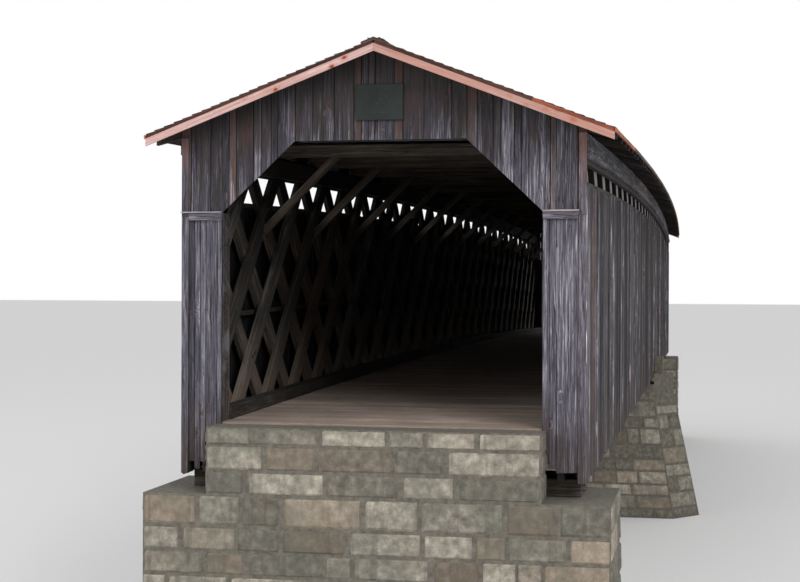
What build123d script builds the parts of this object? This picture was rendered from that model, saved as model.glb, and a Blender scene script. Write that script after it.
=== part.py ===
from build123d import *
import os

os.makedirs("parts", exist_ok=True)

# Timber covered bridge with plank lattice side trusses, in millimetres.
# Y runs along the roadway and the entrance with the board is at -Y, X is across, Z is up.
# Heights named *Z are measured from the roadway surface at an entrance, then raised by deckLevel.

trussLength = 36576.0
bayCount = 9
bay = trussLength / bayCount
camber = 220.0            # rise of the whole bridge at mid span
bow = 150.0               # sideways bend of the old timbers toward +X at mid span
deckLevel = 3600.0        # roadway above the lowest point of the masonry

plank = 76.0              # 3 inch planks
plankWidth = 254.0
board = 25.0

halfWidth = 2430.0        # outer face of the siding
sidingInner = halfWidth - board
chordOuter = sidingInner - plank
latticeInner = chordOuter - 2 * plank
trussFace = latticeInner - plank

deckThick = plank
joistHeight = 90.0        # joists along the bridge, between the deck and the floor beams
joistWidth = 90.0
joistSpacing = 600.0
beamHeight = 190.0
beamWidth = 150.0
beamTopZ = -deckThick - joistHeight
beamBottomZ = beamTopZ - beamHeight
lowerChordZ = beamBottomZ - plankWidth

eaveTopZ = 3440.0         # roof surface at the eave
eaveOverhang = 340.0
eaveHalf = halfWidth + eaveOverhang
roofSlope = 0.385
ridgeZ = eaveTopZ + roofSlope * eaveHalf
roofThick = 50.0
rafterDepth = 100.0
rafterTail = 60.0
rafterWidth = 75.0
roofOverhang = 340.0
rakeHeight = 90.0
eaveStrip = 20.0

upperChordTopZ = eaveTopZ - 120
upperChordZ = upperChordTopZ - plankWidth
latticePitch = trussLength / 28
crossingStart = 1.07 * latticePitch    # first crossing of planks from the entrance
crossingZ = 19.0          # height of that crossing
rafterSpacing = latticePitch / 2

tieHeight = 160.0
tieWidth = 200.0
tieTopZ = upperChordTopZ + tieHeight
tieHalf = latticeInner + 53
tieStart = crossingStart + latticePitch * 0.877
braceDepth = 100.0
braceWidth = 90.0
braceFootZ = 2260.0
plateWidth = 140.0
plateInner = trussFace - plateWidth - 11

sidingBottomZ = -655.0
leftBand = 500.0          # open light band under the eaves, taller on the left
rightBand = 260.0
bandHeight = {-1: leftBand, 1: rightBand}
friezeHeight = 200.0
friezeRun = roofThick + rafterDepth + 10
ledgeHeight = 60.0
ledgeDepth = 30.0
girtHeight = 60.0
middleGirtZ = 1190.0

cheekWidth = 500.0
openingHalf = halfWidth - cheekWidth
openingShoulderZ = 2510.0
shoulderRun = 900.0
openingTopHalf = openingHalf - shoulderRun
openingTopZ = 3360.0
portalFootZ = -625.0      # feet of the entrance walls, beside the road
roadStep = 20.0           # road behind the abutment below the deck
roadHalf = openingHalf + 40
liningDepth = 275.0
cornerWidth = 90.0
cornerThick = 20.0
cheekLedge = 35.0
cheekLedgeHeight = 90.0

curbWidth = 200.0
curbInner = trussFace - curbWidth
curbHeight = 150.0
deckHalf = latticeInner - 17

plaqueWidth = 570.0
plaqueHeight = 420.0
plaqueZ = openingTopZ + 230

bedHeight = 200.0
bedWidth = 200.0
bedHalf = sidingInner - 45
bedInset = 350.0
bedSpacing = 500.0
seatZ = lowerChordZ - bedHeight
abutmentHalf = halfWidth + 320
abutmentBack = 450.0
abutmentSeat = 1200.0
abutmentBatter = 300.0

pierHalfThick = 560.0
pierHalfLong = halfWidth + 70
pierNose = 435.0
pierBatter = 0.06         # growth of each long face per unit of depth
noseBatter = 0.21
capHeight = 160.0
shoulderRise = 237.0
shoulderZ = seatZ + shoulderRise    # tops of the cutwaters, beside the siding
earRise = 368.0           # height of the blocks that hold the trusses sideways
earHalfThick = 300.0
earGap = 15.0

half = trussLength / 2
stations = [-half + i * bay for i in range(bayCount + 1)]


def drift(y):
    """Sideways and upward offset of the bowed, cambered bridge at y, straight within each bay."""
    i = min(max(int((y + half) // bay), 0), bayCount - 1)
    ends = []
    for s in (stations[i], stations[i + 1]):
        shape = 1 - (s / half) ** 2
        ends.append((bow * (shape - 0.5), camber * shape))
    t = (y - stations[i]) / bay
    return tuple(a + (b - a) * t for a, b in zip(*ends))


def bent(x, y, z):
    side, up = drift(y)
    return (x + side, y, z + up + deckLevel)


def bays(y0, y1):
    marks = [y0] + [s for s in stations if y0 + 1 < s < y1 - 1] + [y1]
    return list(zip(marks, marks[1:]))


def polygon(points):
    return Face(Wire.make_polygon([Vector(*p) for p in points], close=True))


def joined(pieces):
    return pieces[0] if len(pieces) == 1 else pieces[0].fuse(*pieces[1:])


def along(section, y0, y1):
    """Carries an X-Z section along the bridge from y0 to y1, bay by bay."""
    pieces = []
    for a, b in bays(y0, y1):
        start, end = Vector(*bent(0, a, 0)), Vector(*bent(0, b, 0))
        pieces.append(Solid.extrude(polygon([bent(x, a, z) for x, z in section]), end - start))
    return joined(pieces)


def rect(x0, x1, z0, z1):
    return [(x0, z0), (x1, z0), (x1, z1), (x0, z1)]


def mirrored(section, side):
    return [(side * x, z) for x, z in section]


def roofTop(x, drop=0.0):
    return ridgeZ - roofSlope * abs(x) - drop


def clipped(points, axis, limit, sign):
    """Part of a convex outline where sign * coordinate <= sign * limit."""
    out = []
    for a, b in zip(points, points[1:] + points[:1]):
        da, db = sign * (a[axis] - limit), sign * (b[axis] - limit)
        if da <= 0:
            out.append(a)
        if da * db < 0:
            t = da / (da - db)
            out.append(tuple(p + (q - p) * t for p, q in zip(a, b)))
    return out


def across(outline, x0, thickness):
    """Extrudes a Y-Z outline across the bridge, following the bend bay by bay."""
    pieces = []
    low, high = min(p[0] for p in outline), max(p[0] for p in outline)
    for a, b in bays(low, high):
        part = clipped(clipped(outline, 0, a, -1), 0, b, 1)
        if len(part) > 2:
            pieces.append(Solid.extrude(polygon([bent(x0, y, z) for y, z in part]), Vector(thickness, 0, 0)))
    return pieces


def lattice(side):
    """Two face-to-face layers of planks that lean opposite ways, fused where they cross."""
    reach = plankWidth / 2 * 2 ** 0.5
    end = half - board
    start = -half + crossingStart
    pieces = []
    for layer, lean in ((0, 1), (1, -1)):
        x0 = latticeInner + layer * plank
        if side < 0:
            x0 = -x0 - plank
        for k in range(-4, 32):
            foot = start + k * latticePitch + lean * (lowerChordZ - crossingZ)
            head = start + k * latticePitch + lean * (upperChordTopZ - crossingZ)
            outline = [(foot - reach, lowerChordZ), (foot + reach, lowerChordZ),
                       (head + reach, upperChordTopZ), (head - reach, upperChordTopZ)]
            outline = clipped(clipped(outline, 0, -end, -1), 0, end, 1)
            # at an end, a corner narrower than a plank's own cut isn't worth nailing up
            if len(outline) > 2 and max(p[0] for p in outline) - min(p[0] for p in outline) > 2 * reach:
                pieces += across(outline, x0, plank)
    return joined(pieces)


def chords(side):
    """Plank pairs that clamp the lattice on both faces, at its foot and its head."""
    return Compound(children=[
        along(mirrored(rect(x, x + plank, z, z + plankWidth), side), -half + board, half - board)
        for z in (lowerChordZ, upperChordZ) for x in (trussFace, chordOuter)])


def friezeFoot(side):
    return roofTop(halfWidth, friezeRun) - friezeHeight - (ledgeHeight if side > 0 else 0) - 20 * (1 + side) / 2


def sidingTop(side):
    return friezeFoot(side) - bandHeight[side]


def girts(side):
    return Compound(children=[
        along(mirrored(rect(chordOuter, sidingInner, z, z + girtHeight), side), -half + board, half - board)
        for z in (middleGirtZ, sidingTop(side) - girtHeight - 15)])


def joists():
    """Joists laid over the floor beams to carry the deck planks."""
    reach = int((deckHalf - joistWidth / 2) // joistSpacing)
    return Compound(children=[
        along(rect(k * joistSpacing - joistWidth / 2, k * joistSpacing + joistWidth / 2, beamTopZ, -deckThick),
              -half + board, half - board) for k in range(-reach, reach + 1)])


def floorBeams():
    """Beams on the lower chords, passing between the planks of both lattices."""
    start = -half + crossingStart + latticePitch / 2
    spots = [start + k * latticePitch for k in range(-1, 27)]
    return Compound(children=[
        along(rect(-sidingInner, sidingInner, beamBottomZ, beamTopZ), y - beamWidth / 2, y + beamWidth / 2)
        for y in spots])


tieSpots = [-half + tieStart + 2 * latticePitch * k for k in range(13)]


def tieBeams():
    return Compound(children=[
        along(rect(-tieHalf, tieHalf, upperChordTopZ, tieTopZ), y - tieWidth / 2, y + tieWidth / 2)
        for y in tieSpots])


def kneeBraces(side):
    """Braces from the lattice up to the tie beams at 45 degrees, cut flush at both ends."""
    deep = braceDepth * 2 ** 0.5
    rise = upperChordTopZ - braceFootZ
    section = [(latticeInner, braceFootZ), (latticeInner, braceFootZ + deep),
               (latticeInner - rise + deep, upperChordTopZ), (latticeInner - rise, upperChordTopZ)]
    return Compound(children=[
        along(mirrored(section, side), y - braceWidth / 2, y + braceWidth / 2) for y in tieSpots])


def plate(side):
    """Bevelled plate on the tie beams that the rafters bear on."""
    drop = roofThick + rafterDepth
    inner, outer = plateInner, plateInner + plateWidth
    section = [(inner, tieTopZ), (outer, tieTopZ), (outer, roofTop(outer, drop)), (inner, roofTop(inner, drop))]
    return along(mirrored(section, side), -half + board, half - board)


def rafters(side):
    section = [(0, roofTop(0, roofThick)), (eaveHalf, roofTop(eaveHalf, roofThick)),
               (eaveHalf, roofTop(eaveHalf, roofThick + rafterTail)),
               (halfWidth + ledgeDepth, roofTop(halfWidth + ledgeDepth, roofThick + rafterDepth)),
               (0, roofTop(0, roofThick + rafterDepth))]
    spots = [tieSpots[0] + (k + 0.5) * rafterSpacing for k in range(-3, 52)]
    spots = [-half + board + rafterWidth / 2] + [y for y in spots if y < half - 300] + [half - board - rafterWidth / 2]
    return Compound(children=[
        along(mirrored(section, side), y - rafterWidth / 2, y + rafterWidth / 2) for y in spots])


def roof(side):
    section = [(0, roofTop(0)), (eaveHalf, roofTop(eaveHalf)),
               (eaveHalf, roofTop(eaveHalf, roofThick)), (0, roofTop(0, roofThick))]
    return along(mirrored(section, side), -half - roofOverhang, half + roofOverhang)


def ridgeCap():
    wing, thick = 150, 22
    section = [(0, ridgeZ + thick), (-wing, roofTop(wing) + thick), (-wing, roofTop(wing)), (0, ridgeZ),
               (wing, roofTop(wing)), (wing, roofTop(wing) + thick)]
    return along(section, -half - roofOverhang, half + roofOverhang)


def eaveEdge(side):
    x = eaveHalf
    return along(mirrored(rect(x, x + eaveStrip, roofTop(x, roofThick + 5), roofTop(x, 8)), side),
                 -half - roofOverhang, half + roofOverhang)


def rakeBoards(end):
    low = roofThick + rakeHeight
    section = [(0, roofTop(0, roofThick)), (eaveHalf, roofTop(eaveHalf, roofThick)), (eaveHalf, roofTop(eaveHalf, low)),
               (0, roofTop(0, low)), (-eaveHalf, roofTop(eaveHalf, low)), (-eaveHalf, roofTop(eaveHalf, roofThick))]
    return along(section, *span(end, roofOverhang, board - roofOverhang))


def span(end, outer, inner):
    """Y range of a piece at one entrance, from distances outward and inward of the entrance plane."""
    a, b = end * (half + outer), end * (half - inner)
    return min(a, b), max(a, b)


def gable(end):
    """Entrance wall of boards: two cheeks and the gable, with the shouldered opening cut through."""
    edge = [(openingHalf, openingShoulderZ), (openingTopHalf, openingTopZ)]
    right = [(openingHalf, portalFootZ), (halfWidth, portalFootZ), (halfWidth, roofTop(halfWidth, roofThick))]
    section = edge[::-1] + right + [(0, roofTop(0, roofThick))] + mirrored(right[::-1] + edge, -1)
    return along(section, *span(end, 0, board))


def lining(end):
    """Boards behind the edges of the opening: one at each side, standing on the deck, and one at its head."""
    jamb = rect(openingHalf, openingHalf + board, 0, openingShoulderZ)
    head = rect(-openingTopHalf, openingTopHalf, openingTopZ, openingTopZ + board)
    return Compound(children=[
        along(section, *span(end, -board, board + liningDepth)) for section in (jamb, mirrored(jamb, -1), head)])


def cheekLedges(end):
    z = openingShoulderZ
    outer = halfWidth - cornerWidth
    low = z - cheekLedgeHeight
    section = [(openingHalf, low), (outer, low), (outer, z - 8), (openingHalf, z)]
    return Compound(children=[along(mirrored(section, side), *span(end, cheekLedge, 0)) for side in (-1, 1)])


def cornerBoards(end):
    """Upright strip nailed over the boards at each corner of an entrance."""
    top = roofTop(halfWidth, friezeRun)
    return Compound(children=[
        along(mirrored(rect(halfWidth - cornerWidth, halfWidth, portalFootZ, top), side), *span(end, cornerThick, 0))
        for side in (-1, 1)])


def siding(side):
    return along(mirrored(rect(sidingInner, halfWidth, sidingBottomZ, sidingTop(side)), side), -half + board, half - board)


def frieze(side):
    """Board under the eave with a thicker ledge along its foot."""
    foot, top = friezeFoot(side), roofTop(halfWidth, friezeRun)
    section = [(sidingInner, foot), (halfWidth + ledgeDepth, foot), (halfWidth + ledgeDepth, foot + ledgeHeight),
               (halfWidth, foot + ledgeHeight), (halfWidth, top), (sidingInner, top)]
    return along(mirrored(section, side), -half + board, half - board)


def abutment(end):
    """Masonry seat, battered toward the water, with a wall behind it that holds up the road."""
    back, face, front = end * (half + abutmentBack), end * (half + 10), half - abutmentSeat
    road, seat = deckLevel - roadStep, deckLevel + seatZ
    shift = drift(end * half)[0]
    outline = [(back, 0), (back, seat), (end * front, seat), (end * (front - abutmentBatter), 0)]
    body = Solid.extrude(polygon([(shift - abutmentHalf, y, z) for y, z in outline]), Vector(2 * abutmentHalf, 0, 0))
    outline = [(back, seat), (back, road), (face, road), (face, seat)]
    wall = Solid.extrude(polygon([(shift - roadHalf, y, z) for y, z in outline]), Vector(2 * roadHalf, 0, 0))
    return body.fuse(wall)


def bedTimbers(spots, seat):
    """Bearing timbers under the trusses, level below and cut to the camber on top."""
    out = []
    for y in spots:
        a, b = y - bedWidth / 2, y + bedWidth / 2
        shift = drift(y)[0]
        outline = [(a, seat), (b, seat), (b, bent(0, b, lowerChordZ)[2]), (a, bent(0, a, lowerChordZ)[2])]
        out.append(Solid.extrude(polygon([(shift - bedHalf, u, v) for u, v in outline]), Vector(2 * bedHalf, 0, 0)))
    return Compound(children=out)


middle = deckLevel + drift(0)[1]
pierSeat = middle + seatZ
pierTop = pierSeat - capHeight


def pierOutline(depth, z):
    """Boat-shaped plan with a cutwater at both ends, larger with depth."""
    w = pierHalfThick + pierBatter * depth
    n = pierNose * w / pierHalfThick
    a = pierHalfLong + noseBatter * depth - (n - pierNose)
    return polygon([(-a - n, 0, z), (-a, -w, z), (a, -w, z), (a + n, 0, z), (a, w, z), (-a, w, z)])


def pier():
    foot, head = pierOutline(pierTop, 0).outer_wire(), pierOutline(0, pierTop).outer_wire()
    return Solid.make_loft([foot, head], ruled=True)


def pierCap():
    """Cap under the bed timbers, with the cutwaters' tops and the side blocks raised at its ends."""
    body = Solid.extrude(pierOutline(0, pierTop), Vector(0, 0, middle + shoulderZ - pierTop))
    clear = bow / 2 + halfWidth + earGap
    past = 2 * pierHalfThick
    slot = Solid.extrude(polygon([(-clear, -past, pierSeat), (clear, -past, pierSeat), (clear, past, pierSeat),
                                  (-clear, past, pierSeat)]), Vector(0, 0, 2 * shoulderRise))
    tip = pierHalfLong + pierNose * (1 - earHalfThick / pierHalfThick)
    ears = []
    for side in (-1, 1):
        low = middle + shoulderZ
        base = [(side * clear, -earHalfThick, low), (side * tip, -earHalfThick, low),
                (side * tip, earHalfThick, low), (side * clear, earHalfThick, low)]
        ears.append(Solid.extrude(polygon(base), Vector(0, 0, earRise)))
    return body.cut(slot).fuse(*ears)


def plaque():
    w = plaqueWidth / 2
    return along(rect(-w, w, plaqueZ, plaqueZ + plaqueHeight), *span(-1, 30, 0))


nodes = {
    "near_abutment": abutment(-1),
    "far_abutment": abutment(1),
    "center_pier": pier(),
    "pier_cap": pierCap(),
    "near_bed_timbers": bedTimbers([-half + bedInset, -half + bedInset + bedSpacing], deckLevel + seatZ),
    "far_bed_timbers": bedTimbers([half - bedInset - bedSpacing, half - bedInset], deckLevel + seatZ),
    "pier_bed_timbers": bedTimbers([-bedSpacing / 2, bedSpacing / 2], pierSeat),
    "floor_beams": floorBeams(),
    "floor_joists": joists(),
    "deck": along(rect(-deckHalf, deckHalf, -deckThick, 0), -half + board, half - board),
    "tie_beams": tieBeams(),
    "ridge_cap": ridgeCap(),
    "portal_plaque": plaque(),
}
for name, side in (("left", -1), ("right", 1)):
    nodes[name + "_lattice"] = lattice(side)
    nodes[name + "_chords"] = chords(side)
    nodes[name + "_girts"] = girts(side)
    nodes[name + "_curb"] = along(mirrored(rect(curbInner, trussFace, 0, curbHeight), side),
                                  -half + board + liningDepth, half - board - liningDepth)
    nodes[name + "_knee_braces"] = kneeBraces(side)
    nodes[name + "_wall_plate"] = plate(side)
    nodes[name + "_rafters"] = rafters(side)
    nodes[name + "_roof_slope"] = roof(side)
    nodes[name + "_eave_edge"] = eaveEdge(side)
    nodes[name + "_siding"] = siding(side)
    nodes[name + "_frieze"] = frieze(side)
for name, end in (("near", -1), ("far", 1)):
    nodes[name + "_gable_wall"] = gable(end)
    nodes[name + "_opening_lining"] = lining(end)
    nodes[name + "_cheek_ledges"] = cheekLedges(end)
    nodes[name + "_corner_boards"] = cornerBoards(end)
    nodes[name + "_rake_boards"] = rakeBoards(end)

for name, shape in nodes.items():
    export_step(shape, "parts/" + name + ".step")
print(len(nodes), "nodes")
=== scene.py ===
import bpy
import bmesh
import math
import numpy as np
from mathutils import Euler, Matrix, Vector


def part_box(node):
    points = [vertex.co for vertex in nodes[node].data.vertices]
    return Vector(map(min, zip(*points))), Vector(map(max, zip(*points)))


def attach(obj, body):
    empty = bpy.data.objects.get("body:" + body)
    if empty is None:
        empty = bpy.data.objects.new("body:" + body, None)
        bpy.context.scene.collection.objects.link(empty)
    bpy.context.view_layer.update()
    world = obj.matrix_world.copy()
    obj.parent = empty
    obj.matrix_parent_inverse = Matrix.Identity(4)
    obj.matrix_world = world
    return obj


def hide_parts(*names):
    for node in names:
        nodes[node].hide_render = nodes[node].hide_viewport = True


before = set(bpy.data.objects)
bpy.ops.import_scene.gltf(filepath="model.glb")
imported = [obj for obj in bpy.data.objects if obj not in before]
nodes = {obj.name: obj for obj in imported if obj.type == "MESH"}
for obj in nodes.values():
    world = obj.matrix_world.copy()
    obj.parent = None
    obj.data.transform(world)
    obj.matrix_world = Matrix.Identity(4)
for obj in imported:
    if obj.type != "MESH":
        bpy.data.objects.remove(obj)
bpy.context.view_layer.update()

# Sizes of the bridge, read from the frame where it holds them. Y runs along the deck, and the entrance
# with the plaque is at -Y.
boardThick = 0.025
deckThick = 0.076
roofThick = 0.05
bayCount = 9
halfLength = -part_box("near_gable_wall")[0].y
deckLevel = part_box("deck")[0].z + deckThick
# an odd number of bays has no joint at midspan, so the deck's top stays a little under the full camber
camber = (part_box("deck")[1].z - deckLevel) / (1 - bayCount % 2 / bayCount ** 2)
bow = sum(corner.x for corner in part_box("pier_bed_timbers"))
bay = 2 * halfLength / bayCount


def bent(co, way=1):
    # the sideways and upward bend of the old bridge, straight within each bay; way -1 takes it out
    start = -halfLength + np.clip(np.floor((co[:, 1] + halfLength) / bay), 0, bayCount - 1) * bay
    a, b = 1 - (start / halfLength) ** 2, 1 - ((start + bay) / halfLength) ** 2
    shape = a + (b - a) * (co[:, 1] - start) / bay
    return co + way * np.stack([bow * (shape - 0.5), 0 * shape, camber * shape + deckLevel], axis=1)


def meshPoints(mesh):
    co = np.zeros(len(mesh.vertices) * 3, np.float32)
    mesh.vertices.foreach_get("co", co)
    return co.reshape(-1, 3).astype(float)


def straightPoints(node):
    # a CAD node's corners with the bend taken out, heights from the roadway
    return bent(meshPoints(nodes[node].data), -1)


def straightBox(node):
    co = straightPoints(node)
    return Vector(co.min(0)), Vector(co.max(0))


roofBox = straightBox("left_roof_slope")
roofHalf = -roofBox[0].x
roofSlope = (roofBox[1].z - roofBox[0].z - roofThick) / roofHalf

# Camera at the photograph's place
cameraLook = {"place": (3.738, -36.121, 5.265), "turnLeft": 11.289, "pitch": -0.261, "roll": -0.206,
              "focalPixels": 1550.0, "photoWidth": 800.0, "sensor": 36.0, "farthest": 500}
cameraData = bpy.data.cameras.new("camera")
cameraData.sensor_width = cameraLook["sensor"]
cameraData.lens = cameraLook["focalPixels"] / cameraLook["photoWidth"] * cameraLook["sensor"]
cameraData.clip_end = cameraLook["farthest"]
camera = bpy.data.objects.new("camera", cameraData)
camera.location = cameraLook["place"]
camera.rotation_mode = "QUATERNION"
aim = Euler((math.radians(90 + cameraLook["pitch"]), 0, math.radians(cameraLook["turnLeft"])))
roll = Euler((0, 0, math.radians(-cameraLook["roll"])))
camera.rotation_quaternion = aim.to_quaternion() @ roll.to_quaternion()
bpy.context.scene.collection.objects.link(camera)
bpy.context.scene.camera = camera
print("camera set")


def tint(colour):
    # a colour as it looks, 0 to 255, in Blender's linear values
    parts = [value / 255 for value in colour]
    return (*(p / 12.92 if p <= 0.04045 else ((p + 0.055) / 1.055) ** 2.4 for p in parts), 1.0)


def pick(sockets, key):
    return sockets[key] if isinstance(key, int) else next(s for s in sockets if s.name == key and s.enabled)


class Wiring:
    # short calls that add nodes to one tree and give back what they put out
    def __init__(self, tree):
        self.tree = tree

    def feed(self, value, socket):
        if isinstance(value, bpy.types.NodeSocket):
            self.tree.links.new(value, socket)
        else:
            socket.default_value = value

    def add(self, kind, inputs=None, **settings):
        node = self.tree.nodes.new(kind)
        for name, value in settings.items():
            setattr(node, name, value)
        for key, value in (inputs or {}).items():
            self.feed(value, pick(node.inputs, key))
        return node

    def maths(self, operation, a, b=0.0, clamp=False):
        return self.add("ShaderNodeMath", {0: a, 1: b}, operation=operation, use_clamp=clamp).outputs[0]

    def times(self, a, b):
        return self.maths("MULTIPLY", a, b)

    def plus(self, a, b):
        return self.maths("ADD", a, b)

    def minus(self, a, b):
        return self.maths("SUBTRACT", a, b)

    def vector(self, operation, a, b):
        return self.add("ShaderNodeVectorMath", {0: a, 1: b}, operation=operation).outputs[0]

    def moved(self, a, b):
        return self.vector("ADD", a, b)

    def stretched(self, a, b):
        return self.vector("MULTIPLY", a, b)

    def scaled(self, a, scale):
        return self.add("ShaderNodeVectorMath", {0: a, "Scale": scale}, operation="SCALE").outputs[0]

    def split(self, vector):
        return self.add("ShaderNodeSeparateXYZ", {0: vector}).outputs

    def combined(self, x=0.0, y=0.0, z=0.0):
        return self.add("ShaderNodeCombineXYZ", {0: x, 1: y, 2: z}).outputs[0]

    def attribute(self, name, output="Fac"):
        return self.add("ShaderNodeAttribute", attribute_name=name).outputs[output]

    def place(self):
        return self.add("ShaderNodeTexCoord").outputs["Object"]

    def group(self, tree, inputs):
        return self.add("ShaderNodeGroup", inputs, node_tree=tree).outputs

    def spread(self, value, low, high, newLow=0.0, newHigh=1.0):
        # smooth map of a value between two limits
        return self.add("ShaderNodeMapRange", {0: value, 1: low, 2: high, 3: newLow, 4: newHigh},
                        interpolation_type="SMOOTHSTEP").outputs[0]

    def noise(self, vector, scale, detail=4.0, rough=0.55):
        inputs = {"Vector": vector, "Scale": scale, "Detail": detail, "Roughness": rough}
        return self.add("ShaderNodeTexNoise", inputs).outputs[0]

    def blend(self, factor, a, b):
        node = self.add("ShaderNodeMix", {0: factor}, data_type="RGBA")
        for key, value in ((6, a), (7, b)):
            self.feed(tint(value) if isinstance(value, tuple) else value, node.inputs[key])
        return node.outputs[2]

    def ramp(self, value, places, colours):
        node = self.add("ShaderNodeValToRGB", {0: value})
        stops = list(zip(places, map(tint, colours)))
        for element, stop in zip(node.color_ramp.elements, (stops[0], stops[-1])):
            element.position, element.color = stop
        for place, colour in stops[1:-1]:
            node.color_ramp.elements.new(place).color = colour
        return node.outputs[0]

    def stored(self, geometry, name, value, kind="FLOAT", domain="INSTANCE"):
        inputs = {"Geometry": geometry, "Name": name, "Value": value}
        return self.add("GeometryNodeStoreNamedAttribute", inputs, data_type=kind, domain=domain).outputs[0]


def newGroup(name, kind, inputs):
    # an input is given by its default value, or by the kind of its socket
    tree = bpy.data.node_groups.new(name, kind)
    for label, value in inputs.items():
        socketKind = {float: "Float", int: "Int", tuple: "Vector"}.get(type(value), value)
        socket = tree.interface.new_socket(name=label, in_out="INPUT", socket_type="NodeSocket" + socketKind)
        if value != socketKind:
            socket.default_value = value
    return Wiring(tree), tree.nodes.new("NodeGroupInput").outputs


def endGroup(t, kind, results):
    for name in results:
        t.tree.interface.new_socket(name=name, in_out="OUTPUT", socket_type="NodeSocket" + kind)
    t.add("NodeGroupOutput", results)
    return t.tree


# Wood grain that runs along each stick's own length. Its threads have a pull along it, a scale, detail
# and roughness. Each wood sets the scale of its streaks.
grainLook = {"streaks": (5.0, 0.72), "streakPull": 0.022, "bands": (0.07, 13.0, 3.0, 0.55),
             "fibres": (0.02, 230.0, 2.0, 0.6), "cracks": (0.03, 48.0, 2.0, 0.45), "crackWidth": 0.02,
             "knotReach": 1.5, "ringReach": 4.0, "swing": 0.03, "wobble": 0.04}


def grainGroup():
    t, given = newGroup("woodGrain", "ShaderNodeTree", {
        "Vector": "Vector", "Tone": 0.5, "Streak scale": 55.0, "Knot size": 0.07, "Knot share": 0.4,
        "Knot cells": (2.1, 5.0, 0.0)})
    size = given["Knot size"]
    base = t.moved(given["Vector"], t.scaled((31.7, 17.3, 9.1), given["Tone"]))
    spots = {"Vector": t.stretched(base, given["Knot cells"]), "Scale": 1.0, "Randomness": 1.0}
    cells = t.add("ShaderNodeTexVoronoi", spots, feature="F1").outputs
    kept = t.maths("LESS_THAN", t.split(cells["Color"])[0], given["Knot share"])
    knots, rings = (t.times(t.spread(cells["Distance"], size, t.times(size, reach), 1.0, 0.0), kept)
                    for reach in (grainLook["knotReach"], grainLook["ringReach"]))
    # the grain swings round each knot
    wobble = t.noise(t.stretched(base, (1.6, 7.0, 7.0)), 1.0, 2.0)
    swing = t.plus(t.times(rings, grainLook["swing"]), t.times(wobble, grainLook["wobble"]))
    flow = t.moved(base, t.scaled((0.0, 1.0, 1.0), swing))

    def threads(pull, scale, detail, rough):
        return t.noise(t.stretched(flow, (pull, 1.0, 1.0)), scale, detail, rough)

    streaks = threads(grainLook["streakPull"], given["Streak scale"], *grainLook["streaks"])
    bands, fibres = threads(*grainLook["bands"]), threads(*grainLook["fibres"])
    cracks = t.maths("ABSOLUTE", t.minus(threads(*grainLook["cracks"]), 0.5))
    gate = t.spread(t.noise(t.stretched(base, (0.9, 5.0, 5.0)), 1.0, 2.0), 0.48, 0.6)
    cracks = t.times(t.spread(cracks, 0.0, grainLook["crackWidth"], 1.0, 0.0), gate)
    height = t.minus(t.plus(t.times(fibres, 0.4), t.times(streaks, 0.8)), t.times(cracks, 0.9))
    return endGroup(t, "Float", {
        "Streaks": streaks, "Bands": bands, "Fibres": fibres, "Knots": knots, "Knot rings": rings,
        "Cracks": cracks, "Height": height})


# Uneven weathering: big soft patches, small specks and drips, on Object coordinates
def weatherGroup():
    inputs = {"Vector": "Vector", "Patch scale": 1.3, "Speck scale": 38.0}
    t, given = newGroup("weather", "ShaderNodeTree", inputs)
    place = given["Vector"]
    return endGroup(t, "Float", {
        "Patches": t.noise(place, given["Patch scale"], 5.0, 0.6),
        "Specks": t.spread(t.noise(place, given["Speck scale"], 3.0, 0.6), 0.6, 0.72),
        "Drips": t.noise(t.stretched(place, (9.0, 9.0, 0.7)), 1.0, 4.0, 0.6)})


grainTree = grainGroup()
weatherTree = weatherGroup()


def newMaterial(name):
    material = bpy.data.materials.new(name)
    material.use_nodes = True
    material.node_tree.nodes.clear()
    return material, Wiring(material.node_tree)


def finish(t, colour, rough, specular=0.5, metallic=0.0, bump=None):
    # bump: its height, strength and depth in metres
    inputs = {"Base Color": colour, "Roughness": rough, "Specular IOR Level": specular, "Metallic": metallic}
    if bump:
        bump = dict(zip(("Height", "Strength", "Distance"), bump))
        inputs["Normal"] = t.add("ShaderNodeBump", bump).outputs[0]
    t.add("ShaderNodeOutputMaterial", {0: t.add("ShaderNodeBsdfPrincipled", inputs).outputs[0]})


def fringe(t, drips, reach):
    return t.spread(drips, 0.25, 0.75, -reach, reach)


def bleached(t, height, drips, colour, look):
    # lighter or darker with height: a top gain under 1 is painted shade on the upper boards, under the eaves
    # and the opening's head; a top gain over 1 makes the tops paler
    low, high = (deckLevel + level for level in look["levels"])
    gain = t.spread(t.plus(height, fringe(t, drips, look["fringe"])), low, high, 1.0, look["topGain"])
    return t.scaled(colour, gain)


def bandUnderRoof(t, place, weather, fine, tone, hue, colour, look):
    # boards in a band under the roof line turn brown or dark, with flame shaped feet of each board's own
    # length
    own = t.minus(t.maths("FRACT", t.times(tone, 7.3)), 0.5)
    x, _, z = t.split(place)
    run = t.maths("ABSOLUTE", t.plus(x, bow / 2))
    below = t.minus(t.minus(deckLevel + roofBox[1].z, t.times(run, roofSlope)), z)
    edge = t.plus(fringe(t, weather["Drips"], 0.6), t.spread(fine["Bands"], 0.3, 0.7, -0.25, 0.25))
    edge = t.plus(edge, t.times(own, look["uneven"]))
    mask = t.spread(t.plus(below, edge), *look["reach"], look["share"], 0.0)
    # brown on the warm boards, dark on the others
    patches = t.spread(weather["Patches"], 0.4, 0.6, -0.3, 0.3)
    brown = t.maths("ADD", t.spread(hue, 0.3, 0.85), patches, clamp=True)
    return t.blend(mask, colour, t.blend(brown, look["dark"], look["brown"]))


def footDirt(t, height, drips, colour, look):
    # damp and dirt low on the boards
    low, high = (deckLevel + level for level in look["levels"])
    mask = t.spread(t.plus(height, fringe(t, drips, 0.3)), low, high, look["share"], 0.0)
    return t.blend(mask, colour, look["colour"])


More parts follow.
